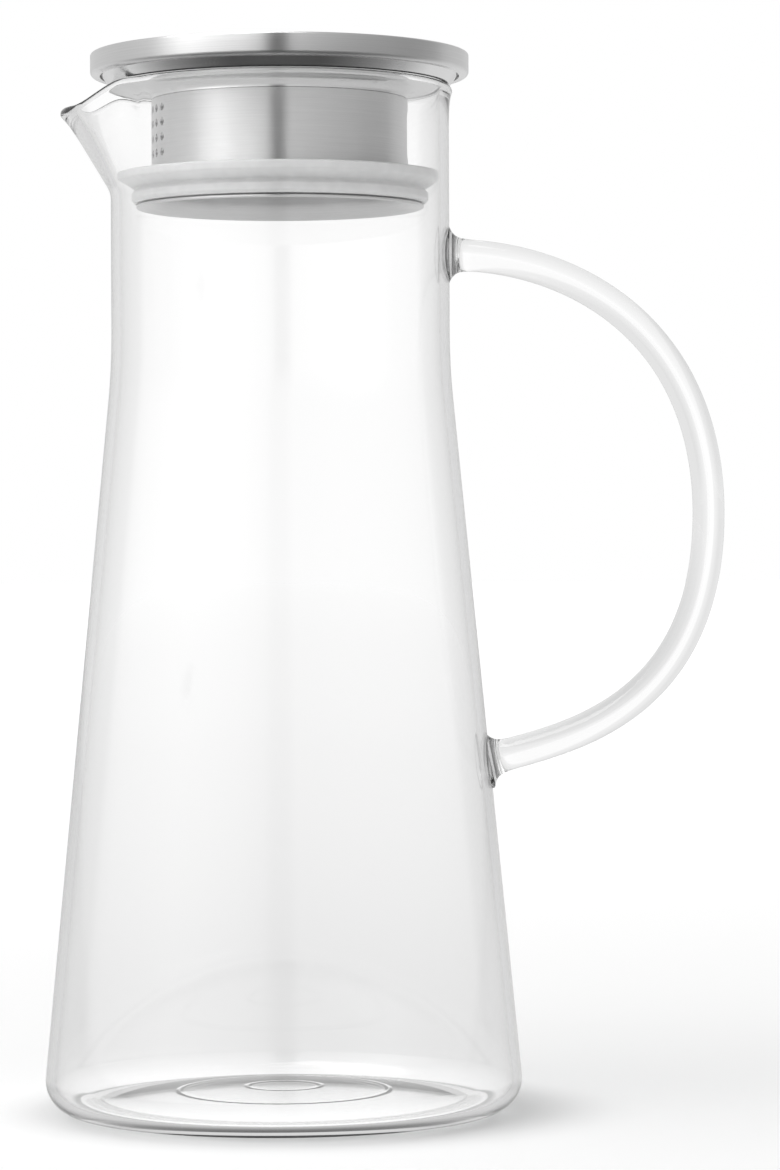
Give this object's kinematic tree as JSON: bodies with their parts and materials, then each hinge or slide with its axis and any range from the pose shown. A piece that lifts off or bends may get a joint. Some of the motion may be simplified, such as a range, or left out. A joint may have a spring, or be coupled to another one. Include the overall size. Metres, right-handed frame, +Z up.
{
  "type": "glass tea carafe",
  "caption": "Tall tapered glass carafe with straight neck, drawn pouring lip, fused glass rod handle and lift-off steel strainer lid with a soft gasket.",
  "frame": {"origin": "middle of the flat ring that the carafe rests on, on its axis", "axes": "+Z up along the carafe's axis, +X towards the handle, -X towards the pouring lip"},
  "size_m": [0.1667, 0.1164, 0.2583],
  "materials": {
    "glass": "clear, fire-polished",
    "steel": "fine circular brushing",
    "silicone": "translucent, satin"
  },
  "bodies": {
    "carafe": {"glass_body": "glass", "glass_handle": "glass"},
    "seal": {"silicone_gasket": "silicone"},
    "lid": {"lid_cap": "steel", "lid_underplate": "steel", "strainer_tube": "steel"}
  },
  "joints": [
    {"name": "lid_lift", "type": "slide", "parent": "carafe", "child": "seal", "axis": [0, 0, 1], "range_m": [0, 0.06]},
    {"name": "lid_turn", "type": "hinge", "parent": "seal", "child": "lid", "pos_m": [0, 0, 0.2505], "axis": [0, 0, 1], "continuous": true}
  ]
}
